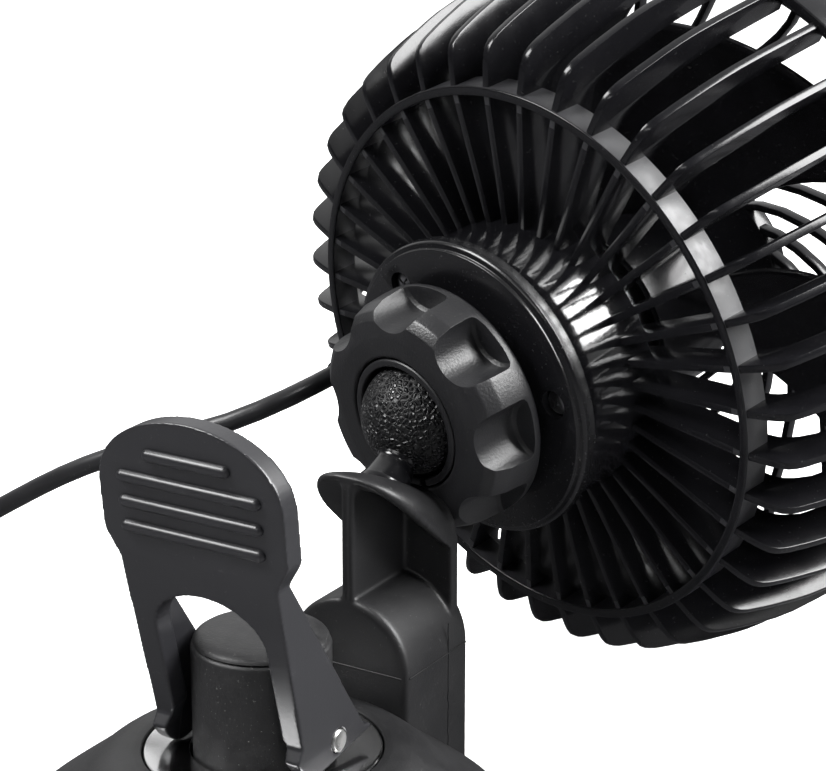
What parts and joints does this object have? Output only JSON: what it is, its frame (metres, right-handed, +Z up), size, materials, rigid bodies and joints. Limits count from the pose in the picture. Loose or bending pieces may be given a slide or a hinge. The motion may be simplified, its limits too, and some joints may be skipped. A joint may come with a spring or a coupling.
{
  "type": "suction cup car fan",
  "caption": "Caged axial fan on a ball joint with a fluted clamp nut, over a hooded arm and a cam-lever suction base, with a coiled cord and a round vehicle power plug.",
  "frame": {"origin": "centre of the suction cup's flat underside, on the surface it stands on", "axes": "+Z up along the post, +Y from the post towards the fan arm, +X to the right seen from the lever side"},
  "size_m": [0.2885, 0.2923, 0.1721],
  "materials": {
    "rubber": "soft black rubber and cord jacket",
    "black_plastic": "satin moulded black",
    "grey_plastic": "matte dark grey",
    "steel": "plated steel",
    "copper": "copper and sintered bronze",
    "dark_sintered": "ferrite and carbon, matte"
  },
  "bodies": {
    "base": {"suction_cup": "rubber", "base_housing": "black_plastic", "thrust_washer": "steel", "return_spring": "steel", "ball_stem": "black_plastic", "cord": "rubber", "cord_coil": "rubber", "cord_tail": "rubber", "coil_tie": "rubber", "plug_body": "black_plastic", "plug_relief": "rubber", "plug_nose": "black_plastic", "plug_spring": "steel", "plug_contact_1": "steel", "plug_contact_2": "steel"},
    "contact_pin": {"plug_pin": "steel", "plug_fuse": "steel"},
    "post": {"cup_post": "black_plastic", "post_cap": "black_plastic", "pivot_pin": "steel"},
    "lever": {"cam_lever": "black_plastic"},
    "swivel": {"ball_liner": "black_plastic"},
    "tilt": {"ball_socket": "black_plastic", "grip_ring": "grey_plastic"},
    "nut": {"clamp_nut": "black_plastic"},
    "head": {"socket_plate": "black_plastic", "disc_screw_1": "steel", "disc_screw_2": "steel", "disc_screw_3": "steel", "rear_guard": "black_plastic", "front_guard": "black_plastic", "guard_badge": "black_plastic", "guard_screw_1": "steel", "guard_screw_2": "steel", "guard_screw_3": "steel", "motor_can": "steel", "motor_endcap": "black_plastic", "magnet_1": "dark_sintered", "magnet_2": "dark_sintered", "brush_1": "dark_sintered", "brush_2": "dark_sintered", "bushing_rear": "copper", "bushing_front": "copper", "motor_screw_1": "steel", "motor_screw_2": "steel", "cord_relief": "rubber"},
    "rotor": {"fan_rotor": "black_plastic", "hub_cap": "black_plastic", "motor_shaft": "steel", "armature_core": "steel", "commutator": "copper"}
  },
  "joints": [
    {"name": "post_lift", "type": "slide", "parent": "base", "child": "post", "axis": [0, 0, 1], "range_m": [0, 0.009], "deforming": ["return_spring", "suction_cup"]},
    {"name": "lever_flip", "type": "hinge", "parent": "post", "child": "lever", "pos_m": [0, 0.001, 0.0328], "axis": [1, 0, 0], "range_deg": [0, 75]},
    {"name": "head_swivel", "type": "hinge", "parent": "base", "child": "swivel", "pos_m": [0, 0.0572, 0.0785], "axis": [0, 0, 1], "range_deg": [-4, 32], "deforming": ["cord"]},
    {"name": "head_tilt", "type": "hinge", "parent": "swivel", "child": "tilt", "pos_m": [0, 0.0572, 0.0785], "axis": [0.969, -0.247, 0], "range_deg": [0, 70], "deforming": ["cord"]},
    {"name": "head_roll", "type": "hinge", "parent": "tilt", "child": "head", "pos_m": [0, 0.0572, 0.0785], "axis": [0.2433, 0.9546, 0.1719], "range_deg": [-45, 45], "deforming": ["cord"]},
    {"name": "nut_turn", "type": "hinge", "parent": "tilt", "child": "nut", "pos_m": [0, 0.0572, 0.0785], "axis": [0.2433, 0.9546, 0.1719], "range_deg": [-180, 180]},
    {"name": "fan_spin", "type": "hinge", "parent": "head", "child": "rotor", "pos_m": [0, 0.0572, 0.0785], "axis": [0.2433, 0.9546, 0.1719], "continuous": true},
    {"name": "pin_press", "type": "slide", "parent": "base", "child": "contact_pin", "axis": [0, 1, 0], "range_m": [0, 0.003], "stiffness_N_per_m": 400, "springref_m": -0.004, "deforming": ["plug_spring"]}
  ],
  "couplings": [
    {"joint": "post_lift", "follows": "lever_flip", "m_per_rad": 0.006875}
  ]
}
